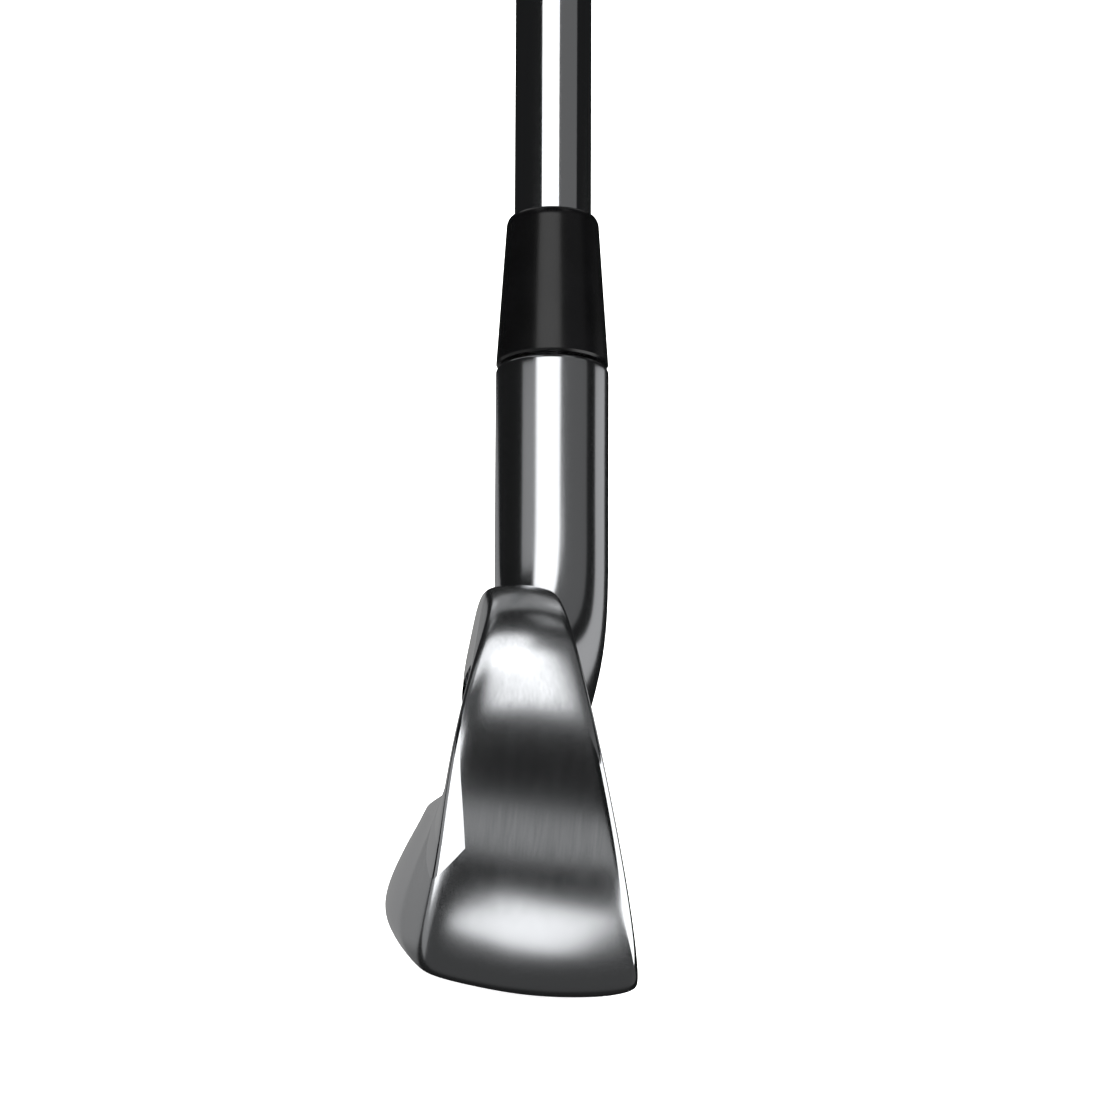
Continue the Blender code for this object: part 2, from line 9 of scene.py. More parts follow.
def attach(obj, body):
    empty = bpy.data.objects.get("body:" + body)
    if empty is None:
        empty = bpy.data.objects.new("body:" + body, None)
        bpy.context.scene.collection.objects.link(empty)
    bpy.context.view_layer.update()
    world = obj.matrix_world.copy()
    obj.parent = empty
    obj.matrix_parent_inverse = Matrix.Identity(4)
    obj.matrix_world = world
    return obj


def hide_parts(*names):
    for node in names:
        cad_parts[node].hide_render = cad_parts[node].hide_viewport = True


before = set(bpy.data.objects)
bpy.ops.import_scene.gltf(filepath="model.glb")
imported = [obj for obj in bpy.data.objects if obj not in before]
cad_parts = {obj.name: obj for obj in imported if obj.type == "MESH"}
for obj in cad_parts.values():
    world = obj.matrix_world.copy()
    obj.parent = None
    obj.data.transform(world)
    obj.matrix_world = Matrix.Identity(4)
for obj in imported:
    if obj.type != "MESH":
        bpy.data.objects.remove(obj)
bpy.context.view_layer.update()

# Studio: the camera stands low off the toe with a long lens, looking along the sole.
# The floor and the room are plain white. The metal mirrors a dark room with white and grey cards in it.

MM = 0.001
STRIKE = Vector((-40.5, 5.4018, 22.5))       # strike face's middle from the shaft's ground point
GROUND = -STRIKE.z * MM


def spot(x, y, z):
    """A point given in millimetres from where the shaft's axis meets the ground."""
    return (Vector((x, y, z)) - STRIKE) * MM


CAMERA_TURN = math.radians(9.5)
CAMERA_RISE = math.radians(11.858)
CAMERA_ROLL = math.radians(5.033)
CAMERA_AWAY = 0.85
CAMERA_AIM = (-35.0, 9.241, 46.829)
LENS = 244.84

look = Vector((math.cos(CAMERA_RISE) * math.cos(CAMERA_TURN),
               -math.cos(CAMERA_RISE) * math.sin(CAMERA_TURN), -math.sin(CAMERA_RISE)))
camera = bpy.data.objects.new("camera", bpy.data.cameras.new("camera"))
camera.data.lens = LENS
camera.data.clip_start = 0.01
camera.location = spot(*CAMERA_AIM) - look * CAMERA_AWAY
camera.rotation_mode = "QUATERNION"
camera.rotation_quaternion = look.to_track_quat("-Z", "Y") @ Quaternion((0, 0, 1), CAMERA_ROLL)
bpy.context.scene.collection.objects.link(camera)
bpy.context.scene.camera = camera


class Signal:
    """A shader socket that takes part in sums: + - * / and their reflected forms."""

    def __init__(self, finish, socket):
        self.finish = finish
        self.socket = socket

    def maths(self, operation, a, b):
        return self.finish.node("ShaderNodeMath", {"operation": operation}, {0: a, 1: b})

    def __add__(self, other):
        return self.maths("ADD", self, other)

    def __sub__(self, other):
        return self.maths("SUBTRACT", self, other)

    def __rsub__(self, other):
        return self.maths("SUBTRACT", other, self)

    def __mul__(self, other):
        return self.maths("MULTIPLY", self, other)

    def __truediv__(self, other):
        return self.maths("DIVIDE", self, other)

    __radd__ = __add__
    __rmul__ = __mul__


class Finish:
    """A material: a Principled shader with its fixed values, and a way to add nodes to it."""

    def __init__(self, name, colour, roughness, metallic=0.0):
        self.material = bpy.data.materials.new(name)
        self.material.use_nodes = True
        self.tree = self.material.node_tree
        self.shader = self.tree.nodes["Principled BSDF"]
        self.shader.inputs["Base Color"].default_value = (*colour, 1)
        self.shader.inputs["Roughness"].default_value = roughness
        self.shader.inputs["Metallic"].default_value = metallic
        self.place = self.node("ShaderNodeTexCoord", out="Object")

    def node(self, kind, settings=None, inputs=None, out=0):
        made = self.tree.nodes.new(kind)
        for key, value in (settings or {}).items():
            setattr(made, key, value)
        for key, value in (inputs or {}).items():
            self.feed(made.inputs[key], value)
        return Signal(self, made.outputs[out])

    def feed(self, socket, value):
        if isinstance(value, Signal):
            self.tree.links.new(value.socket, socket)
        else:
            socket.default_value = value

    def set(self, **inputs):
        for name, value in inputs.items():
            self.feed(self.shader.inputs[name.replace("_", " ")], value)

    def axis(self, letter):
        return self.node("ShaderNodeSeparateXYZ", inputs={0: self.place}, out="XYZ".index(letter))

    def noise(self, scale, detail, stretch=(1, 1, 1)):
        place = self.node("ShaderNodeMapping", inputs={"Vector": self.place, "Scale": stretch})
        return self.node("ShaderNodeTexNoise", inputs={"Vector": place, "Scale": scale, "Detail": detail})

    def clamp(self, value, low, high):
        """0 below low, 1 above high, eased in between."""
        return self.node("ShaderNodeMapRange", {"interpolation_type": "SMOOTHSTEP"},
                         {"Value": value, "From Min": low, "From Max": high})

    def ramp(self, value, limits):
        """The same between two limits in millimetres."""
        return self.clamp(value, limits[0] * MM, limits[1] * MM)

    def blend(self, share, first, second):
        """Goes from the first colour to the second."""
        low, high = [colour if isinstance(colour, Signal) else (*colour, 1) for colour in (first, second)]
        return self.node("ShaderNodeMix", {"data_type": "RGBA"}, {0: share, 6: low, 7: high}, out=2)

    def bump(self, height, strength, distance):
        return self.node("ShaderNodeBump", inputs={"Height": height, "Strength": strength,
                                                   "Distance": distance})


FLOOR_HALF = 6.0
FLOOR_GLOW = 0.75                 # hides the club's shadow
shape = bmesh.new()
bmesh.ops.create_grid(shape, x_segments=2, y_segments=2, size=FLOOR_HALF)
bmesh.ops.translate(shape, vec=(0, 0, GROUND), verts=shape.verts)
floor_mesh = bpy.data.meshes.new("floor")
shape.to_mesh(floor_mesh)
shape.free()
floor = bpy.data.objects.new("floor", floor_mesh)
floor_finish = Finish("white_card", (0.92, 0.92, 0.92), 0.9)
floor_finish.shader.inputs["Emission Color"].default_value = (1, 1, 1, 1)
floor_finish.shader.inputs["Emission Strength"].default_value = FLOOR_GLOW
floor_mesh.materials.append(floor_finish.material)
floor.visible_glossy = False
bpy.context.scene.collection.objects.link(floor)

ROOM_GLOW = 1.3
MIRRORED_GLOW = 0.012             # the room as the metal mirrors it

world = bpy.data.worlds.new("studio")
world.use_nodes = True
bpy.context.scene.world = world
sky = world.node_tree
room = sky.nodes["Background"]
room.inputs["Color"].default_value = (1.0, 1.0, 1.0, 1)
room.inputs["Strength"].default_value = ROOM_GLOW
dark = sky.nodes.new("ShaderNodeBackground")
dark.inputs["Color"].default_value = (0.95, 0.98, 1.0, 1)
dark.inputs["Strength"].default_value = MIRRORED_GLOW
rays = sky.nodes.new("ShaderNodeLightPath")
either = sky.nodes.new("ShaderNodeMixShader")
sky.links.new(rays.outputs["Is Glossy Ray"], either.inputs[0])
sky.links.new(room.outputs[0], either.inputs[1])
sky.links.new(dark.outputs[0], either.inputs[2])
sky.links.new(either.outputs[0], sky.nodes["World Output"].inputs[0])
bpy.context.scene.view_settings.view_transform = "Standard"

LIE = math.radians(61)            # shaft's angle above the ground
SHAFT_LINE = Vector((math.cos(LIE), 0, math.sin(LIE)))
along_view = look.dot(SHAFT_LINE)
facing = -(look - SHAFT_LINE * along_view).normalized()
sideways = SHAFT_LINE.cross(facing)


def mirrored(turn):
    """Where the shaft mirrors the camera at this many degrees round it, right of the camera +."""
    turn = math.radians(turn)
    across = math.sqrt(1 - along_view ** 2)
    return SHAFT_LINE * along_view + (facing * math.cos(turn) + sideways * math.sin(turn)) * across


def card(name, centre, aim, wide, tall, glow, upright=(0, 0, 1), glossy=True, diffuse=True):
    """A softbox of even brightness, turned to face a point."""
    lamp = bpy.data.lights.new(name, "AREA")
    lamp.shape = "RECTANGLE"
    lamp.size, lamp.size_y = wide, tall
    lamp.energy = glow * wide * tall * math.pi
    made = bpy.data.objects.new(name, lamp)
    back = (centre - aim).normalized()
    side = Vector(upright).cross(back).normalized()
    turn = Matrix((side, back.cross(side), back)).transposed()
    made.matrix_world = Matrix.Translation(centre) @ turn.to_4x4()
    made.visible_camera = False
    made.visible_glossy = glossy
    made.visible_diffuse = diffuse
    bpy.context.scene.collection.objects.link(made)


def heading(turn, rise):
    """A direction: 0 towards the toe's front, + towards the club's back, and this far above level."""
    turn, rise = math.radians(turn), math.radians(rise)
    return Vector((-math.cos(turn) * math.cos(rise), math.sin(turn) * math.cos(rise), math.sin(rise)))


# Cards for the neck and the lower shaft: white in the middle, grey to either side, a dim one at the right.
neck = spot(18, 0, 45)
higher, lower = neck + SHAFT_LINE * 0.055, neck - SHAFT_LINE * 0.04
card("neck_white", higher + mirrored(-8) * 0.4, higher, 0.357, 0.2, 1.6, SHAFT_LINE)
card("shaft_grey", neck + mirrored(46) * 1.4, neck, 1.5, 1.4, 0.11, SHAFT_LINE)
card("neck_left_grey", neck + mirrored(-47) * 0.32, neck, 0.17, 0.062, 0.32, SHAFT_LINE)
card("neck_right", lower + mirrored(117) * 0.34, lower, 0.2, 0.14, 0.45, SHAFT_LINE)

# Cards for the toe: white above and below it, grey between, and white along its two polished edges.
toe = spot(-76, 14, 26)
toe_top = spot(-74, 14, 39)
toe_back = spot(-76, 24, 27)
toe_face = spot(-77, 6, 22)
toe_sole = toe + Vector((-0.195, -0.066, 0))
card("toe_white", toe_top + heading(-9, 42) * 0.2, toe_top, 0.128, 0.125, 1.6)
card("front_grey", toe + heading(-8, -24) * 0.6, toe, 0.6, 0.2, 0.36)
card("under", toe_sole - Vector((0, 0, 0.4)), toe_sole, 0.2, 0.2, 1.6, (-0.5, 0.87, 0))
card("toe_left", toe_back + heading(61, -13) * 0.3, toe_back, 0.36, 0.34, 1.8)
card("toe_right", toe_face + heading(-76, -22) * 0.32, toe_face, 0.3, 0.4, 1.8)

# Dim cards for the muscle's end, the top of the toe, the sole and the club's back.
card("behind", spot(0, 20, 0) + Vector((0.4, 0.06, -0.1)), spot(-60, 25, 12), 0.42, 0.17, 0.26)
card("behind_high", toe + heading(176, 42) * 0.9, toe, 0.9, 0.6, 0.3)
card("under_grey", toe + Vector((0.05, -0.1, -0.7)), toe, 1.0, 1.0, 0.06, (0, 1, 0))
card("back_low", toe + heading(95, -32) * 0.9, toe, 1.3, 1.0, 0.3)

# Four strips round the upper shaft, out of the neck's sight, and the light from overhead.
upper_shaft = spot(0, 0, 0) + SHAFT_LINE * 0.725
for turn in (45, 135, 225, 315):
    beside = facing * math.cos(math.radians(turn)) + sideways * math.sin(math.radians(turn))
    card("shaft_strip", upper_shaft + beside * 0.35, upper_shaft, 0.16, 0.55, 0.35, SHAFT_LINE, diffuse=False)
card("overhead", Vector((0, 0, 2.2)), Vector((0, 0, 0)), 3.4, 3.4, 1.8, (0, 1, 0), glossy=False)

# Head: one piece of cast stainless steel, satin on the toe and the neck and polished along its edges.
# The blade's sections run from the toe band to the heel, where they round off into the neck and its bore.

LOFT = math.radians(16)           # face leans back from the vertical
FACE_LEAD = -1.05                 # where the face's plane meets the ground, behind the shaft axis
TOE_REACH = 78.0
TOE_HEIGHT = 49.0
TOE_CORNER = 13.0
TOE_FOOT = 22.0
TOE_LEVEL_SHARE = 0.56            # height of the toe's furthest point, of the toe's own
TOE_EASE = 12.5
TOE_BAND_FOOT = 20.5
TOE_BAND_TOP = 17.0
BAND_CROWN = 2.4
BAND_CROWN_FOOT = 5.0
BAND_DRAW = 0.0145                # how fast the band's rear edge is drawn in
BAND_SET_IN = 1.4
BODY_DEEP = 28.4
HEEL_HEIGHT = 29.5
BLADE_HEEL = -14.0
SOLE_CENTRE = -35.0
SOLE_RADIUS = 228.0
SOLE_CAMBER = 37.0
SOLE_LOWEST = 8.5
REAR_CENTRE = -57.0
REAR_RADIUS = 96.0
TOPLINE = 7.8
TOPLINE_HEEL = 7.2
MUSCLE_SHARE = 0.5
MUSCLE_STEP = 5.6
RIM = 5.5
HEEL_CURVE = 30.0
CROTCH_CURVE = 14.0
HOSEL_TOP = 63.3
HOSEL_RADIUS = 6.9
BORE_RADIUS = 5.19
BORE_DEPTH = 31.0
SEAT_GAP = 0.3
PLATE_THICK = 2.6
PLATE_FOOT = 4.6
PLATE_BROW = 3.6
PLATE_SIDE = 5.0
PLATE_CORNER = 4.5
CAVITY_WEB = 2.5
CAVITY_HEEL_SIDE = 7.0
CAVITY_TOE_SIDE = 18.0
CAVITY_SILL = 1.6
CAVITY_CORNER = 5.0
POCKET_DEEP = 6.5
POCKET_FOOT = 8.0
POCKET_LIP = 0.4
RING = 22                         # points round each section of the head
SWELL = 0.6

ACROSS = Vector((-math.sin(LIE), 0, math.cos(LIE)))
TOE_PEAK = TOE_CORNER - TOE_REACH
TOE_LEVEL = TOE_LEVEL_SHARE * TOE_HEIGHT
BAND_TURN = 0.6 * TOE_HEIGHT      # above this the band's rear edge is drawn in
TOPLINE_SLOPE = (TOE_HEIGHT + 2.0 - HEEL_HEIGHT) / (BLADE_HEEL - TOE_PEAK)
REARMOST = FACE_LEAD + BODY_DEEP
BAND_REAR = REARMOST - BAND_SET_IN
CAVITY_FLOOR = PLATE_THICK + SEAT_GAP + CAVITY_WEB


def mix(a, b, share):
    return a + (b - a) * share


def face_y(z):
    return FACE_LEAD + z * math.tan(LOFT)


def sole_z(x):
    return (x - SOLE_CENTRE) ** 2 / (2 * SOLE_RADIUS)


def topline_z(x):
    """A straight line that eases over into the top of the toe."""
    along = (BLADE_HEEL - x) / (BLADE_HEEL - TOE_PEAK)
    return HEEL_HEIGHT + TOPLINE_SLOPE * (BLADE_HEEL - x) - TOE_EASE * max(0.0, along - 0.6) ** 2


def rear_y(x):
    return REARMOST - (x - REAR_CENTRE) ** 2 / (2 * REAR_RADIUS)


def band_rear(z):
    """Rear edge of the toe's band, drawn in towards the top."""
    return BAND_REAR - max(0.0, z - BAND_TURN) ** 2 * BAND_DRAW


def toe_point(angle):
    """Front view of the toe: two quarter ovals, below and above its furthest point."""
    if angle < 0:
        middle, reach, drop = TOE_FOOT - TOE_REACH, TOE_FOOT, TOE_LEVEL - sole_z(TOE_FOOT - TOE_REACH)
    else:
        middle, reach, drop = TOE_PEAK, TOE_CORNER, TOE_HEIGHT - TOE_LEVEL
    x = middle - (reach + SWELL) * math.cos(angle)
    return Vector((x, 0, TOE_LEVEL + (drop + SWELL) * math.sin(angle)))


def blade_ring(low, high, top, rear):
    """Section of the blade between a sole point and a topline point, each (x, z)."""
    foot = Vector((low[0], 0, low[1]))
    climb = Vector((high[0], 0, high[1])) - foot
    tall = climb.length

    def at(height, y):
        point = foot + climb * (height / tall)
        point.y = y
        return point

    leading = 2.7
    face = [at(mix(leading, tall, row / 5), 0) for row in range(6)]
    for point in face:
        point.y = face_y(point.z)
    crest = face[5].y
    topline = [at(tall + crown, crest + top * share)
               for share, crown in ((0.13, 0.3), (0.32, 0.6), (0.53, 0.65), (0.73, 0.45), (0.88, 0.2))]
    back = [at(tall - 0.4, crest + top),
            at(tall - RIM, crest + top + 0.2),
            at(tall * MUSCLE_SHARE, rear - MUSCLE_STEP),
            at(tall * MUSCLE_SHARE * 0.63, rear - 1.9),
            at(tall * MUSCLE_SHARE * 0.31, rear + 0.3),
            at(3.6, rear - 1.9)]
    sole = []
    for share in (0.86, 0.66, 0.45, 0.24, 0.08):
        y = mix(face[0].y, rear - 2.2, share)
        sole.append(at((y - SOLE_LOWEST) ** 2 / (2 * SOLE_CAMBER), y))
    return face + topline + back + sole


def round_ring(low, high, radius):
    """Oval section between the same two points, centred on the shaft axis."""
    middle = Vector((low[0] + high[0], 0, low[1] + high[1])) / 2
    climb = Vector((high[0] - low[0], 0, high[1] - low[1])) / 2
    fullness = 2 / 3 + math.cos(math.tau / RING) / 3
    ring = []
    for i in range(RING):
        angle = (i - 2.5) * math.tau / RING
        point = middle + climb * (math.sin(angle) / fullness)
        point.y = -radius * math.cos(angle) / fullness
        ring.append(point)
    return ring


def hosel_ring(along, radius):
    centre = SHAFT_LINE * along
    low, high = centre - ACROSS * radius, centre + ACROSS * radius
    return round_ring((low.x, low.z), (high.x, high.z), radius)


def heel_curves(share):
    """Points on the curve from sole to hosel and on the curve from topline to hosel."""
    side = HOSEL_RADIUS / math.sin(LIE)
    sole_corner = Vector((side, 0, 1.2))
    start = sole_corner.x - HEEL_CURVE * math.tan(LIE / 2)
    angle = LIE * share
    low = (start + HEEL_CURVE * math.sin(angle), sole_corner.z + HEEL_CURVE * (1 - math.cos(angle)))
    fall = math.atan(TOPLINE_SLOPE)
    z = (HEEL_HEIGHT - TOPLINE_SLOPE * (-side - BLADE_HEEL)) / (1 + TOPLINE_SLOPE / math.tan(LIE))
    corner = Vector((z / math.tan(LIE) - side, 0, z))
    reach = CROTCH_CURVE * math.tan((LIE + fall) / 2)
    begin = corner + reach * Vector((-math.cos(fall), 0, math.sin(fall)))
    centre = begin + CROTCH_CURVE * Vector((math.sin(fall), 0, math.cos(fall)))
    turn = -fall + (LIE + fall) * share
    high = (centre.x + CROTCH_CURVE * math.sin(turn), centre.z - CROTCH_CURVE * math.cos(turn))
    return low, high


def toe_ring():
    """The edge of the toe's band: the face's outline in front, the back's behind."""
    front = [toe_point(math.radians(a)) for a in (-65, -43, -17, 14, 43, 70)]
    back = [point.copy() for point in reversed(front)]
    for point in front:
        point.y = face_y(point.z)
    back[5] = toe_point(math.radians(-60))
    for point in back:
        point.y = band_rear(point.z)
    back[5].y = BAND_REAR - 2.2
    back[4].y = BAND_REAR + 0.3
    return front, back


def head_rings():
    rings = []
    for share in (0.0, 0.17, 0.34, 0.51, 0.68, 0.84, 1.0):
        low_x = mix(TOE_BAND_FOOT - TOE_REACH, BLADE_HEEL, share)
        high_x = mix(TOE_BAND_TOP - TOE_REACH, BLADE_HEEL, share)
        rings.append(blade_ring((low_x, sole_z(low_x)), (high_x, topline_z(high_x)),
                                mix(TOPLINE, TOPLINE_HEEL, share), rear_y(low_x)))
    for share, roundness in ((0.0, 0.1), (0.25, 0.3), (0.5, 0.57), (0.75, 0.83), (1.0, 1.0)):
        low, high = heel_curves(share)
        rear = mix(rear_y(low[0]), HOSEL_RADIUS, roundness)
        blade = blade_ring(low, high, mix(TOPLINE_HEEL, 2 * HOSEL_RADIUS, roundness), rear)
        oval = round_ring(low, high, HOSEL_RADIUS)
        rings.append([mix(a, b, roundness) for a, b in zip(blade, oval)])
    for along in (0.67 * HOSEL_TOP, 0.82 * HOSEL_TOP, HOSEL_TOP - 0.9, HOSEL_TOP - 0.45):
        rings.append(hosel_ring(along, HOSEL_RADIUS))
    return rings


def bore_rings():
    floor = HOSEL_TOP - BORE_DEPTH
    places = ((HOSEL_TOP, HOSEL_RADIUS - 0.45), (HOSEL_TOP, HOSEL_RADIUS - 0.8),
              (HOSEL_TOP, BORE_RADIUS + 0.3), (HOSEL_TOP - 0.3, BORE_RADIUS), (floor + 0.5, BORE_RADIUS),
              (floor, BORE_RADIUS), (floor, BORE_RADIUS - 0.5))
    return [hosel_ring(along, radius) for along, radius in places]


def rolled(shape, rings, closed, patches=None):
    """Lays a grid over the rings; closed rings meet at their seam. patches(col, row) marks faces."""
    around = len(rings[0]) if closed else len(rings[0]) - 1
    along = len(rings) - 1
    marks = shape.faces.layers.int["patch"]
    made = bmesh.ops.create_grid(shape, x_segments=around, y_segments=along, size=1)
    cells = {}
    for point in made["verts"]:
        cells[point] = (round((point.co.x + 1) / 2 * around), round((point.co.y + 1) / 2 * along))
    for face in {face for point in made["verts"] for face in point.link_faces}:
        col = min(cells[point][0] for point in face.verts)
        row = min(cells[point][1] for point in face.verts)
        face[marks] = patches(col, row) if patches else 0
    for point, (col, row) in cells.items():
        point.co = rings[row][col % len(rings[row])]


FACE_MARK, BACK_MARK = 1, 2


def head_patch(col, row):
    if row >= 7:
        return 0
    if col < 5:
        return FACE_MARK
    return BACK_MARK if 11 <= col < 16 else 0


def head_cage():
    """The head as a coarse cage; subdividing it gives the rounded casting."""
    shape = bmesh.new()
    marks = shape.faces.layers.int.new("patch")
    front, back = toe_ring()
    top_shares = (0.0, 0.13, 0.3, 0.49, 0.66, 0.8, 1.0)
    sole_shares = (0.0, 0.08, 0.22, 0.4, 0.57, 0.71, 1.0)
    chains = []
    for row, (near, far) in enumerate(zip(front, reversed(back))):
        outward = (near - Vector((TOE_PEAK + 15, near.y, TOE_LEVEL))).normalized()
        chain = []
        for top_share, sole_share in zip(top_shares, sole_shares):
            share = mix(sole_share, top_share, row / 5)
            bulge = mix(BAND_CROWN_FOOT, BAND_CROWN, row / 5) * share * (1 - share)
            chain.append(near.lerp(far, share) + outward * bulge)
        chains.append(chain)
    toe_edge = front + chains[5][1:6] + back + list(reversed(chains[0][1:6]))
    rolled(shape, [toe_edge] + head_rings() + bore_rings(), True, head_patch)
    rolled(shape, chains, False)
    bmesh.ops.remove_doubles(shape, verts=shape.verts, dist=0.01)
    bmesh.ops.holes_fill(shape, edges=[e for e in shape.edges if e.is_boundary], sides=RING)
    bmesh.ops.recalc_face_normals(shape, faces=shape.faces)
    for mark, thickness in ((FACE_MARK, 1.3), (BACK_MARK, 1.6)):
        faces = [face for face in shape.faces if face[marks] == mark]
        bmesh.ops.inset_region(shape, faces=faces, thickness=thickness, use_even_offset=True)
    return shape


def muscle_z(x):
    return mix(sole_z(x), topline_z(x), MUSCLE_SHARE)


def up_slope(z):
    """Distance up the face's plane for a height above the ground."""
    return z / math.cos(LOFT)


def plate_outline(margin):
    heel, toe = BLADE_HEEL - PLATE_SIDE - margin, PLATE_SIDE + margin - TOE_REACH
    foot, brow = toe + 0.45 * TOE_FOOT, toe + 0.55 * TOE_CORNER
    return [(heel, up_slope(sole_z(heel) + PLATE_FOOT) + margin),
            (foot, up_slope(sole_z(foot) + PLATE_FOOT) + margin),
            (toe, up_slope(0.38 * TOE_HEIGHT)),
            (toe, up_slope(0.68 * TOE_HEIGHT)),
            (brow, up_slope(topline_z(brow) - PLATE_BROW) - margin),
            (heel, up_slope(topline_z(heel) - PLATE_BROW) - margin)]


def cavity_outline(margin):
    heel, toe = BLADE_HEEL - CAVITY_HEEL_SIDE - margin, CAVITY_TOE_SIDE + margin - TOE_REACH
    return [(heel, up_slope(muscle_z(heel) + CAVITY_SILL) + margin),
            (toe, up_slope(muscle_z(toe) + CAVITY_SILL) + margin),
            (toe, up_slope(topline_z(toe) - RIM) - margin),
            (heel, up_slope(topline_z(heel) - RIM) - margin)]


def pocket_outline():
    heel, toe = BLADE_HEEL - CAVITY_HEEL_SIDE, CAVITY_TOE_SIDE - TOE_REACH
    return [(heel, up_slope(sole_z(heel) + POCKET_FOOT)), (toe, up_slope(sole_z(toe) + POCKET_FOOT)),
            (toe, up_slope(muscle_z(toe) + 2 * CAVITY_SILL)),
            (heel, up_slope(muscle_z(heel) + 2 * CAVITY_SILL))]


def lean_back(shape):
    """Turns a shape laid out in the plane Y = 0 onto the face's plane."""
    turn = Matrix.Rotation(-LOFT, 3, "X")
    bmesh.ops.rotate(shape, cent=(0, 0, 0), matrix=turn, verts=shape.verts)
    bmesh.ops.translate(shape, vec=(0, FACE_LEAD, 0), verts=shape.verts)


def face_slab(outline, front, thickness, corner):
    """A plate parallel to the face, its front this far behind the face's plane."""
    shape = bmesh.new()
    shape.faces.new([shape.verts.new((x, front, z)) for x, z in outline])
    bmesh.ops.bevel(shape, geom=shape.verts[:], offset=corner, offset_type="OFFSET", segments=10,
                    profile=0.5, affect="VERTICES", material=-1, clamp_overlap=True)
    made = bmesh.ops.extrude_face_region(shape, geom=shape.faces[:])
    moved = [part for part in made["geom"] if isinstance(part, bmesh.types.BMVert)]
    bmesh.ops.translate(shape, vec=(0, thickness, 0), verts=moved)
    lean_back(shape)
    bmesh.ops.recalc_face_normals(shape, faces=shape.faces)
    return shape


def placed(name, shape, finish, sharp=35):
    """Makes an object at the origin from a bmesh in millimetres from the shaft's ground point."""
    bmesh.ops.translate(shape, vec=-STRIKE, verts=shape.verts)
    bmesh.ops.scale(shape, vec=(MM, MM, MM), verts=shape.verts)
    mesh = bpy.data.meshes.new(name)
    shape.to_mesh(mesh)
    shape.free()
    mesh.shade_smooth()
    mesh.set_sharp_from_angle(angle=math.radians(sharp))
    mesh.materials.append(finish.material)
    made = bpy.data.objects.new(name, mesh)
    bpy.context.scene.collection.objects.link(made)
    return made


def settled(made, sharp=35):
    """Turns an object's modifiers into its mesh, and drops the cutters."""
    bpy.context.view_layer.update()
    depsgraph = bpy.context.evaluated_depsgraph_get()
    mesh = bpy.data.meshes.new_from_object(made.evaluated_get(depsgraph))
    cutters = [m.object for m in made.modifiers if m.type == "BOOLEAN"]
    made.modifiers.clear()
    made.data = mesh
    mesh.name = made.name
    mesh.shade_smooth()
    mesh.set_sharp_from_angle(angle=math.radians(sharp))
    for cutter in cutters:
        bpy.data.objects.remove(cutter)


FACET_TOP = 37.0                  # the polished facet on the toe's rear edge widens down to its foot
FACET_FOOT = 18.0
FACET_NARROW = 0.9
FACET_WIDENS = 0.15
FACET_TAPERS = 0.7
FACET_TILT = 0.25
FACET_SOFT = (0.0, 0.15)
FACE_EDGE = (0.7, 1.4)            # behind the face: where polish turns to satin
POLISH_TOP = (35.0, 38.0)         # above the ground: where the edges turn satin too
TOE_SATIN = (18.0, 22.0)          # out from the face's middle to the toe
NECK_SATIN = (30.0, 45.0)         # out from the face's middle to the neck
STROKES = (10.0, 22.0)            # above the ground: brushed strokes run up the toe and fade at the sole

satin = Finish("satin_steel", (0.62, 0.63, 0.65), 0.2, 1.0)
behind_face = satin.axis("Y") - satin.axis("Z") * math.tan(LOFT)
height = satin.axis("Z") - GROUND
over = satin.node("ShaderNodeMath", {"operation": "MAXIMUM"}, {0: height / MM - BAND_TURN, 1: 0.0})
from_rear = (BAND_REAR - STRIKE.y) * MM - over * over * (BAND_DRAW * MM) - satin.axis("Y")
width = satin.node("ShaderNodeMath", {"operation": "MINIMUM"},
                   {0: (FACET_TOP * MM - height) * FACET_WIDENS + FACET_NARROW * MM,
                    1: (height - FACET_FOOT * MM) * FACET_TAPERS})
facet = satin.node("ShaderNodeMath", {"operation": "MAXIMUM"}, {0: width - from_rear, 1: 0.0})
between = satin.ramp(behind_face, FACE_EDGE) * (1 - satin.ramp(facet, FACET_SOFT))
edges = (1 - between) * (1 - satin.ramp(height, POLISH_TOP))
toe_side = satin.ramp(satin.axis("X") * -1, TOE_SATIN)
band = (1 - edges) * toe_side
fine_strokes = satin.noise(3200, 1.0, (1, 1, 0.02))
wide_strokes = satin.noise(800, 2.0, (1, 1, 0.03))
streak = (fine_strokes * 0.4 + wide_strokes * 0.6 - 0.5) * satin.ramp(height, STROKES)
satin.set(Base_Color=satin.blend(band * (streak + 0.5), (0.68, 0.69, 0.71), (0.52, 0.535, 0.55)),
          Roughness=0.07 + satin.ramp(satin.axis("X"), NECK_SATIN) * 0.1 + band * (0.17 + streak * 0.12),
          Normal=satin.bump(facet * toe_side * -FACET_TILT, 1.0, 1.0))

head = placed("cast_head", head_cage(), satin)
smooth = head.modifiers.new("smooth", "SUBSURF")
smooth.levels = 3
smooth.render_levels = 3
CUTS = (("plate_recess", face_slab(plate_outline(-SEAT_GAP), -2.0, 2.0 + PLATE_THICK + SEAT_GAP,
                                   PLATE_CORNER + SEAT_GAP)),
        ("cavity", face_slab(cavity_outline(0), CAVITY_FLOOR, 27.5, CAVITY_CORNER)),
        ("undercut", face_slab(pocket_outline(), CAVITY_FLOOR + POCKET_LIP, POCKET_DEEP,
                               CAVITY_CORNER / 2)))
for name, shape in CUTS:
    cutter = placed(name, shape, satin)
    cut = head.modifiers.new(name, "BOOLEAN")
    cut.operation = "DIFFERENCE"
    cut.solver = "EXACT"
    cut.object = cutter
settled(head)
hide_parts("head_body")
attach(head, "root")

# Score-lined face: a thin forged steel plate pressed into the front of the head, blasted to a fine
# even grey and milled with straight score lines. It keeps the frame's own solid.


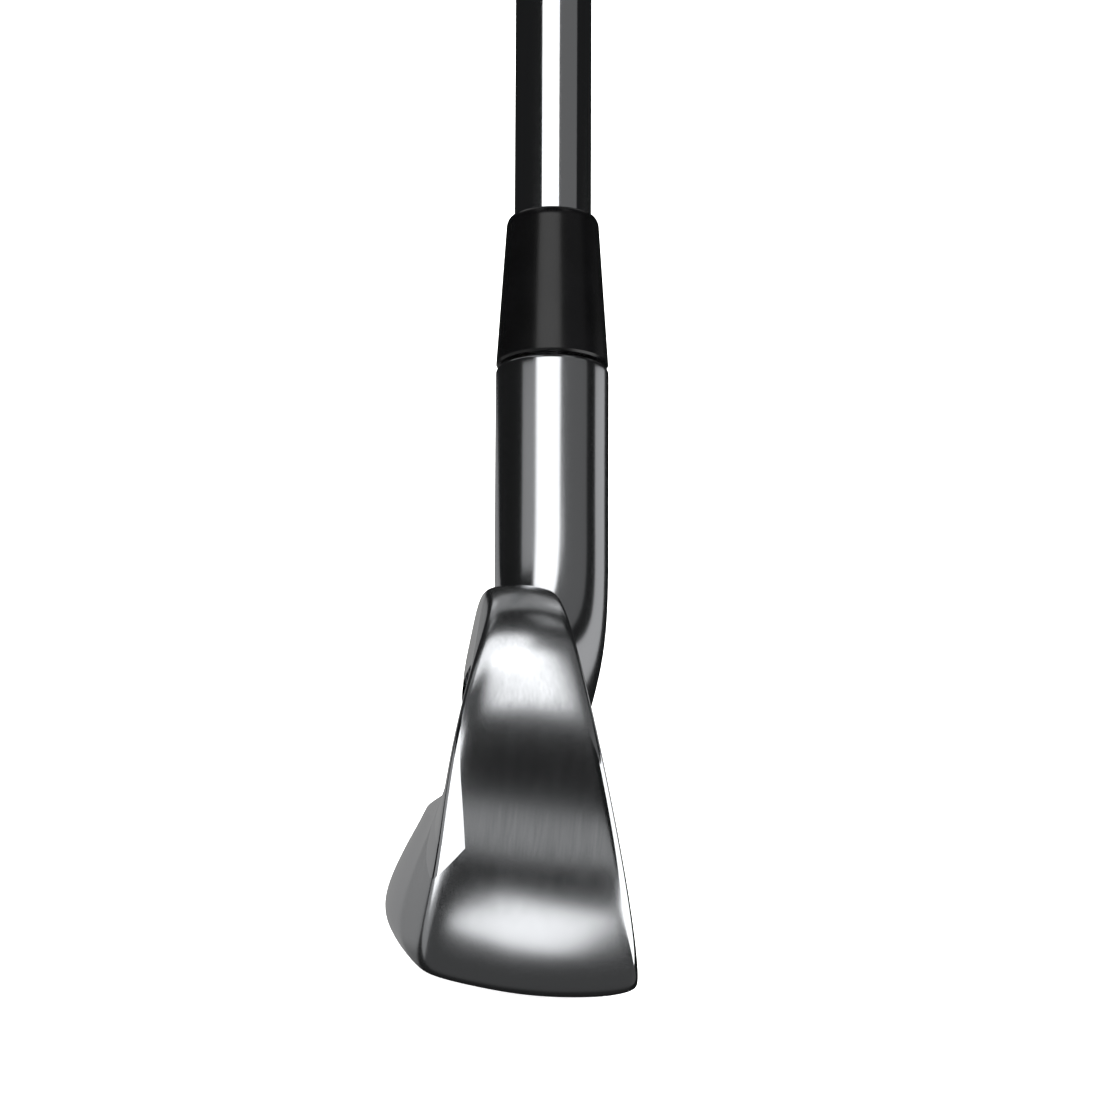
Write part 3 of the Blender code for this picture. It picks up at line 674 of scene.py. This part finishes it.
def dress(node, finish):
    """Gives a piece that keeps the frame's own mesh its finished material."""
    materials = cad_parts[node].data.materials
    materials.clear()
    materials.append(finish.material)


face_steel = Finish("face_steel", (0.5, 0.51, 0.53), 0.38, 1.0)
blasting = face_steel.noise(3200, 3.0)
milling = face_steel.node("ShaderNodeTexWave", {"wave_type": "BANDS", "bands_direction": "Z"},
                          {"Vector": face_steel.place, "Scale": 520.0, "Distortion": 1.2})
wear = face_steel.noise(90, 4.0)
face_steel.set(Base_Color=face_steel.blend(wear, (0.44, 0.45, 0.47), (0.56, 0.57, 0.59)),
               Roughness=0.3 + blasting * 0.16,
               Normal=face_steel.bump(blasting * 0.6 + milling * 0.4, 0.35, 0.00003))
dress("face_plate", face_steel)

# Cavity badge on its foam tape: a dark anodised aluminium plate with a raised rim and three plain
# ribs, stuck to the cavity's floor to damp the face. The tape shows only as a dark line round it.

PAD_THICK = 0.8
BADGE_THICK = 1.4
BADGE_EDGE = 1.6
BADGE_RIM = 1.1
BADGE_SUNK = 0.45
BADGE_SOFT = 0.22                 # rounding of the rim
RIBS = ((26.0, -2.6), (24.0, 0.0), (22.0, 2.6))      # length and place up the plate
RIB_WIDE = 1.1
RIB_PROUD = 0.25

BACKWARDS = Vector((0, math.cos(LOFT), -math.sin(LOFT)))
UPHILL = Vector((0, math.sin(LOFT), math.cos(LOFT)))


def shown_face(shape):
    """The largest face that looks out of the cavity."""
    return max((face for face in shape.faces if face.normal.dot(BACKWARDS) > 0.99),
               key=lambda face: face.calc_area())


def badge_plate():
    """The plate lies face down on the tape; its far side is the one that shows."""
    front = CAVITY_FLOOR + SEAT_GAP + PAD_THICK + SEAT_GAP
    shape = face_slab(cavity_outline(BADGE_EDGE), front, BADGE_THICK, CAVITY_CORNER - BADGE_EDGE)
    bmesh.ops.bevel(shape, geom=shown_face(shape).edges[:], offset=BADGE_SOFT, offset_type="OFFSET",
                    segments=3, profile=0.5, affect="EDGES", material=-1)
    shown = shown_face(shape)
    bmesh.ops.inset_region(shape, faces=[shown], thickness=BADGE_RIM, use_even_offset=True)
    bmesh.ops.inset_region(shape, faces=[shown], thickness=BADGE_SOFT, use_even_offset=True)
    bmesh.ops.translate(shape, vec=BACKWARDS * -BADGE_SUNK, verts=shown.verts)
    return shape, shown.calc_center_median()


badge_metal = Finish("badge_aluminium", (0.24, 0.25, 0.27), 0.36, 1.0)
grain = badge_metal.noise(2200, 2.0, (0.03, 1, 1))
tint = badge_metal.noise(60, 3.0)
badge_metal.set(Base_Color=badge_metal.blend(tint, (0.2, 0.21, 0.23), (0.29, 0.3, 0.32)),
                Roughness=0.28 + grain * 0.18, Normal=badge_metal.bump(grain, 0.3, 0.00002))
shape, middle = badge_plate()
badge = placed("badge_plate", shape, badge_metal)
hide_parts("cavity_badge")
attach(badge, "root")

shape = bmesh.new()
for length, place in RIBS:
    earlier = set(shape.verts)
    rib = bmesh.ops.create_cube(shape, size=1)["verts"]
    bmesh.ops.scale(shape, vec=(length, 2 * RIB_PROUD, RIB_WIDE), verts=rib)
    bmesh.ops.bevel(shape, geom=list({edge for point in rib for edge in point.link_edges}),
                    offset=0.7 * RIB_PROUD, offset_type="OFFSET", segments=3, profile=0.5,
                    affect="EDGES", material=-1)
    fresh = [point for point in shape.verts if point not in earlier]
    bmesh.ops.rotate(shape, cent=(0, 0, 0), matrix=Matrix.Rotation(-LOFT, 3, "X"), verts=fresh)
    bmesh.ops.translate(shape, vec=middle + BACKWARDS * RIB_PROUD / 2 + UPHILL * place, verts=fresh)
rib_finish = Finish("polished_rib", (0.7, 0.71, 0.73), 0.16, 1.0)
rib_grain = rib_finish.noise(1800, 2.0, (0.03, 1, 1))
rib_finish.set(Roughness=0.12 + rib_grain * 0.12, Normal=rib_finish.bump(rib_grain, 0.2, 0.00001))
ribs = placed("badge_ribs", shape, rib_finish)
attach(ribs, "root")

foam = Finish("foam_tape", (0.03, 0.03, 0.032), 0.9)
cells = foam.node("ShaderNodeTexVoronoi", {"feature": "F1"}, {"Vector": foam.place, "Scale": 2400.0})
foam.set(Base_Color=foam.blend(cells, (0.018, 0.018, 0.02), (0.05, 0.05, 0.052)),
         Normal=foam.bump(cells, 0.6, 0.0001))
dress("badge_pad", foam)

# Shaft: a stepped tube of chromed steel, drawn down in short slopes from the hands to a parallel tip,
# which is glued into the neck. A brass swing weight is pushed into the tip before the glue sets.

CLUB_LENGTH = 988.0
FIT_GAP = 0.12
TIP_RADIUS = 4.7
BUTT_RADIUS = 7.62
SHAFT_STEPS = 13
STEP_RAMP = 1.2
TIP_BARE = 131.5
SHAFT_WALL = 0.42
TIP_CHAMFER = 0.4
SHAFT_FLOAT = 1.0
FERRULE_LONG = 19.0
GRIP_LONG = 267.0
CAP_THICK = 3.6
BAND_LONG = 32.0
BAND_TO_STEP = 4.0
BAND_TO_GRIP = 12.0
ROUND = 96                        # sides of a turned piece

tip = HOSEL_TOP - BORE_DEPTH + SHAFT_FLOAT
seat = HOSEL_TOP + SEAT_GAP
crown = seat + FERRULE_LONG
butt = CLUB_LENGTH - CAP_THICK - SEAT_GAP
mouth = CLUB_LENGTH - GRIP_LONG
band_high = mouth - BAND_TO_GRIP


def turned(profile, sides=ROUND):
    """Spins a closed outline of (radius, height) points round the upright axis; along_shaft lays it along the
    shaft's line.
    """
    shape = bmesh.new()
    points = [shape.verts.new((radius, 0, height)) for radius, height in profile]
    edges = [shape.edges.new((points[i - 1], points[i])) for i in range(len(points))]
    bmesh.ops.spin(shape, geom=points + edges, cent=(0, 0, 0), axis=(0, 0, 1), angle=math.tau,
                   steps=sides, use_merge=True)
    bmesh.ops.remove_doubles(shape, verts=shape.verts, dist=0.0005)
    bmesh.ops.recalc_face_normals(shape, faces=shape.faces)
    return shape


def along_shaft(shape):
    bmesh.ops.rotate(shape, cent=(0, 0, 0), matrix=Matrix.Rotation(math.pi / 2 - LIE, 3, "Y"),
                     verts=shape.verts)
    return shape


def eased(corners, ease, pieces=4):
    """Rounds an outline's corners, each (radius, height, share of the ease). Where a long side starts,
    one more point keeps it straight."""
    out = []
    count = len(corners)
    for i, (x, z, soft) in enumerate(corners):
        here = Vector((x, z))
        if not soft:
            out.append((x, z))
            continue
        back = Vector(corners[i - 1][:2]) - here
        on = Vector(corners[(i + 1) % count][:2]) - here
        reach = min(ease * soft, back.length * 0.45, on.length * 0.45)
        a, b = back.normalized() * reach, on.normalized() * reach
        curve = [here + a * (1 - t / pieces) ** 2 + b * (t / pieces) ** 2 for t in range(pieces + 1)]
        if back.length > 5 * reach:
            curve.insert(0, here + a * 1.6)
        if on.length > 5 * reach:
            curve.append(here + b * 1.6)
        out += [tuple(point) for point in curve]
    return out


first_step = crown + TIP_BARE
last_step = band_high - BAND_LONG - BAND_TO_STEP - STEP_RAMP
rise = (BUTT_RADIUS - TIP_RADIUS) / SHAFT_STEPS
outside = [(TIP_RADIUS - TIP_CHAMFER, tip, 0), (TIP_RADIUS, tip + TIP_CHAMFER, 0)]
inside = []
for step in range(SHAFT_STEPS):
    place = mix(first_step, last_step, step / (SHAFT_STEPS - 1))
    for steps, height in ((step, place), (step + 1, place + STEP_RAMP)):
        radius = TIP_RADIUS + rise * steps
        outside.append((radius, height, 1))
        inside.insert(0, (radius - SHAFT_WALL, height, 0))
outside.append((BUTT_RADIUS, butt, 0))
inside = [(BUTT_RADIUS - SHAFT_WALL, butt, 0)] + inside + [(TIP_RADIUS - SHAFT_WALL, tip + TIP_CHAMFER, 0)]

chrome = Finish("chrome", (0.86, 0.87, 0.89), 0.04, 1.0)
draw_lines = chrome.noise(120, 3.0)
haze = chrome.noise(14, 4.0)
chrome.set(Base_Color=chrome.blend(haze, (0.83, 0.84, 0.86), (0.9, 0.91, 0.93)),
           Roughness=0.09 + chrome.clamp(haze, 0.45, 0.8) * 0.03 + draw_lines * 0.02,
           Normal=chrome.bump(draw_lines, 0.02, 0.00002))
shaft = placed("stepped_shaft", along_shaft(turned(eased(outside + inside, 1.0))), chrome, 30)
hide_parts("shaft")
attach(shaft, "root")

glue = Finish("epoxy", (0.55, 0.5, 0.36), 0.4)
cloud = glue.noise(400, 3.0)
glue.set(Base_Color=glue.blend(cloud, (0.48, 0.43, 0.3), (0.62, 0.57, 0.43)), Roughness=0.3 + cloud * 0.25)
brass = Finish("brass", (0.6, 0.45, 0.18), 0.3, 1.0)
turning = brass.node("ShaderNodeTexWave", {"wave_type": "RINGS", "rings_direction": "SPHERICAL"},
                     {"Vector": brass.place, "Scale": 600.0})
brass.set(Base_Color=brass.blend(turning, (0.52, 0.38, 0.14), (0.66, 0.5, 0.22)),
          Roughness=0.24 + turning * 0.12, Normal=brass.bump(turning, 0.2, 0.00002))
dress("hosel_epoxy", glue)
dress("tip_weight", brass)

# Ferrule: a turned collar of black acetate over the shaft, buffed flush with the neck at its foot
# and rounded over at its top.

FERRULE_WALL = 0.86
FERRULE_INSET = 0.05
FERRULE_SHOULDER = 1.3
FERRULE_FOOT = 0.25               # small chamfer that leaves a line above the neck
SHOULDER_STEPS = 8
SHOULDER_TURN = math.radians(80)

ferrule_top = TIP_RADIUS + FIT_GAP + FERRULE_WALL
foot = HOSEL_RADIUS - FERRULE_INSET
profile = [(TIP_RADIUS + FIT_GAP, seat), (foot - FERRULE_FOOT, seat), (foot, seat + FERRULE_FOOT),
           (mix(foot, ferrule_top, 0.97), mix(seat + FERRULE_FOOT, crown - FERRULE_SHOULDER, 0.97))]
for step in range(SHOULDER_STEPS + 1):
    angle = step / SHOULDER_STEPS * SHOULDER_TURN
    profile.append((ferrule_top - FERRULE_SHOULDER * 0.5 * (1 - math.cos(angle)),
                    crown - FERRULE_SHOULDER * (1 - math.sin(angle))))
profile.append((TIP_RADIUS + FIT_GAP, crown))
acetate = Finish("ferrule_black", (0.002, 0.002, 0.002), 0.24)
buffing = acetate.noise(180, 3.0)
fine = acetate.noise(2600, 2.0)
acetate.set(Base_Color=acetate.blend(buffing, (0.001, 0.001, 0.001), (0.0025, 0.0025, 0.003)),
            Roughness=0.22 + acetate.clamp(buffing, 0.3, 0.8) * 0.04 + fine * 0.02,
            Normal=acetate.bump(fine, 0.03, 0.00001))
ferrule = placed("black_ferrule", along_shaft(turned(profile)), acetate, 40)
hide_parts("ferrule")
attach(ferrule, "root")

# Shaft band: a plain metallic film wrapped once round the bare steel below the grip, with two
# bright edge lines and a fine chequer between them.

BAND_WALL = 0.2
LINES = ((0.06, 0.105), (0.895, 0.94))               # bright lines, as shares of the film's length
CHEQUER = (0.16, 0.84)
LINE_EDGE = 0.005
band_in = BUTT_RADIUS + FIT_GAP
band_low = band_high - BAND_LONG
corners = [(band_in, band_low, 0), (band_in + BAND_WALL, band_low, 1), (band_in + BAND_WALL, band_high, 1),
           (band_in, band_high, 0)]
foil = Finish("label_foil", (0.1, 0.1, 0.11), 0.3, 0.6)
across = foil.axis("X") * math.cos(LIE) + foil.axis("Z") * math.sin(LIE)
start = (SHAFT_LINE * band_low - STRIKE).dot(SHAFT_LINE) * MM
up_band = (across - start) / (BAND_LONG * MM)


def stripe(low, high):
    return foil.clamp(up_band, low, low + LINE_EDGE) - foil.clamp(up_band, high - LINE_EDGE, high)


lines = stripe(*LINES[0]) + stripe(*LINES[1])
chequer = foil.node("ShaderNodeTexChecker", None, {"Vector": foil.place, "Scale": 900.0}, out=1)
dark_film = foil.blend(chequer * stripe(*CHEQUER), (0.05, 0.052, 0.06), (0.09, 0.093, 0.105))
foil.set(Base_Color=foil.blend(lines, dark_film, (0.75, 0.76, 0.78)), Roughness=0.34 - lines * 0.18,
         Metallic=0.45 + lines * 0.5)
band_ring = placed("shaft_band_film", along_shaft(turned(eased(corners, 0.08))), foil, 50)
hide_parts("shaft_band")
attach(band_ring, "root")

# Grip: a tapered sleeve of moulded black rubber slid over two-sided tape, knurled in a fine diamond
# pattern between plain collars. The tape keeps the frame's own solid.

GRIP_MOUTH_WALL = 0.85
GRIP_SHOULDER = 50.0
GRIP_SHOULDER_RADIUS = 11.4
GRIP_BUTT_RADIUS = 12.7
TAPE_WALL = 0.2
CAP_RADIUS = 13.6
VENT_RADIUS = 1.6
KNURLS = 24                       # diamonds round the grip
KNURL_LONG = 5.2
KNURL_DEEP = 0.34
KNURL_STEEP = 2.6
COLLAR_STEP = 62.0                # plain grooves round the grip
COLLAR_HALF = 1.6
COLLAR_DEEP = 0.476
PLAIN_MOUTH = 9.0                 # left smooth at either end
PLAIN_BUTT = 7.0
PLAIN_FADE = 1.5
GRIP_SIDES = 144
GRIP_ROWS = 330

sleeve_in = BUTT_RADIUS + FIT_GAP + TAPE_WALL + FIT_GAP
mouth_radius = sleeve_in + GRIP_MOUTH_WALL


def sleeve_radius(height):
    shoulder = CLUB_LENGTH - GRIP_SHOULDER
    if height < shoulder:
        return mix(mouth_radius, GRIP_SHOULDER_RADIUS, (height - mouth) / (shoulder - mouth))
    return mix(GRIP_SHOULDER_RADIUS, GRIP_BUTT_RADIUS, (height - shoulder) / (butt - shoulder))


profile = [(sleeve_in, butt), (sleeve_in, mouth)]
for height, drawn_in in ((0.0, 0.45), (0.12, 0.25), (0.35, 0.1), (0.8, 0.0)):
    profile.append((sleeve_radius(mouth + height) - drawn_in, mouth + height))
rows = [mix(mouth + 1.2, butt - 0.4, row / GRIP_ROWS) for row in range(GRIP_ROWS + 1)]
profile += [(sleeve_radius(height), height) for height in rows] + [(sleeve_radius(butt) - 0.15, butt)]
shape = turned(profile, GRIP_SIDES)
for point in shape.verts:
    radius = math.hypot(point.co.x, point.co.y)
    height = point.co.z
    if radius < sleeve_in + 0.3 or not mouth + PLAIN_MOUTH <= height <= butt - PLAIN_BUTT:
        continue
    turn = math.atan2(point.co.y, point.co.x) / math.tau * KNURLS
    rung = (height - mouth) / KNURL_LONG
    first = abs((turn + rung) % 1 - 0.5) * 2
    second = abs((turn - rung) % 1 - 0.5) * 2
    ridge = min(1.0, KNURL_STEEP * min(1 - first, 1 - second))
    collar = abs((height - mouth) % COLLAR_STEP - COLLAR_STEP / 2) < COLLAR_HALF
    depth = COLLAR_DEEP if collar else KNURL_DEEP * (1 - ridge)
    from_end = min(height - mouth - PLAIN_MOUTH, butt - PLAIN_BUTT - height)
    share = 1 - depth * min(1.0, from_end / PLAIN_FADE) / radius
    point.co.x *= share
    point.co.y *= share
rubber = Finish("grip_rubber", (0.02, 0.02, 0.021), 0.62)
pores = rubber.noise(3000, 3.0)
handled = rubber.noise(40, 4.0)
rubber.set(Base_Color=rubber.blend(handled, (0.014, 0.014, 0.015), (0.034, 0.034, 0.035)),
           Roughness=0.52 + handled * 0.2 + pores * 0.08, Normal=rubber.bump(pores, 0.35, 0.00006))
sleeve = placed("rubber_grip", along_shaft(shape), rubber, 60)
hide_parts("grip_sleeve")
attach(sleeve, "root")

paper = Finish("grip_tape", (0.7, 0.68, 0.6), 0.8)
weave = paper.noise(1500, 3.0)
paper.set(Base_Color=paper.blend(weave, (0.62, 0.6, 0.52), (0.76, 0.74, 0.66)),
          Normal=paper.bump(weave, 0.4, 0.00005))
dress("grip_tape", paper)

# Butt cap: a moulded rubber disc whose plug sits in the shaft's open end. A small hole through it
# lets the air out as the grip slides on.

CAP_PLUG_LONG = 6.0
CAP_PLUG_GAP = 0.3
CAP_EDGE = ((0.5, CAP_THICK), (0.0, 2.8), (0.3, 1.4), (1.4, 0.4), (3.0, 0.0))    # inwards and down
CAP_RINGS = (9.4, 4.2)            # radii of the plain rings on its end
RING_DEEP = 0.3
RING_HALF = 0.35

cap_low = CLUB_LENGTH - CAP_THICK
plug = BUTT_RADIUS - SHAFT_WALL - CAP_PLUG_GAP
corners = [(VENT_RADIUS, cap_low - CAP_PLUG_LONG, 0), (plug, cap_low - CAP_PLUG_LONG, 1), (plug, cap_low, 0)]
corners += [(CAP_RADIUS - inwards, CLUB_LENGTH - down, 1) for inwards, down in CAP_EDGE]
for ring in CAP_RINGS:
    corners += [(ring + RING_HALF, CLUB_LENGTH, 0.3), (ring + RING_HALF * 0.4, CLUB_LENGTH - RING_DEEP, 0.3),
                (ring - RING_HALF * 0.4, CLUB_LENGTH - RING_DEEP, 0.3), (ring - RING_HALF, CLUB_LENGTH, 0.3)]
corners += [(VENT_RADIUS, CLUB_LENGTH, 0.3)]
cap_rubber = Finish("cap_rubber", (0.018, 0.018, 0.019), 0.5)
mould = cap_rubber.noise(1800, 3.0)
scuffs = cap_rubber.noise(120, 4.0)
cap_rubber.set(Base_Color=cap_rubber.blend(scuffs, (0.014, 0.014, 0.015), (0.032, 0.032, 0.034)),
               Roughness=0.42 + scuffs * 0.22, Normal=cap_rubber.bump(mould, 0.3, 0.00004))
cap = placed("butt_cap", along_shaft(turned(eased(corners, 0.8))), cap_rubber, 50)
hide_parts("grip_cap")
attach(cap, "root")
